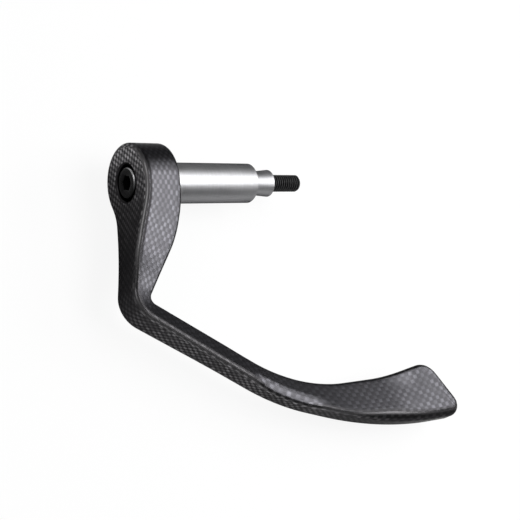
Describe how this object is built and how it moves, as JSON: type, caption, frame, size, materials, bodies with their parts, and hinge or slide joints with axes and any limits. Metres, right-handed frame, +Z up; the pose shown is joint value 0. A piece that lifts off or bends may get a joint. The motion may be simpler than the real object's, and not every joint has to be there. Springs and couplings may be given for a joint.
{
  "type": "brake lever guard",
  "caption": "Bent carbon guard that curves round a motorbike's brake lever, bolted through a turned aluminium spacer into the end of the handlebar.",
  "frame": {"origin": "on the handlebar's axis, in the plane where the guard's head meets the end of the bar", "axes": "+X along the bar towards the middle of the bike, -Y forwards, +Z up, for the right-hand end of the bar"},
  "size_m": [0.1633, 0.1384, 0.0342],
  "materials": {
    "carbon": "woven carbon fibre under a satin clear coat",
    "turned_aluminium": "fine turned, bare",
    "black_steel": "black oxide, slightly oiled"
  },
  "bodies": {
    "root": {"guard_arm": "carbon", "bar_spacer": "turned_aluminium", "clamp_bolt": "black_steel"}
  },
  "joints": []
}
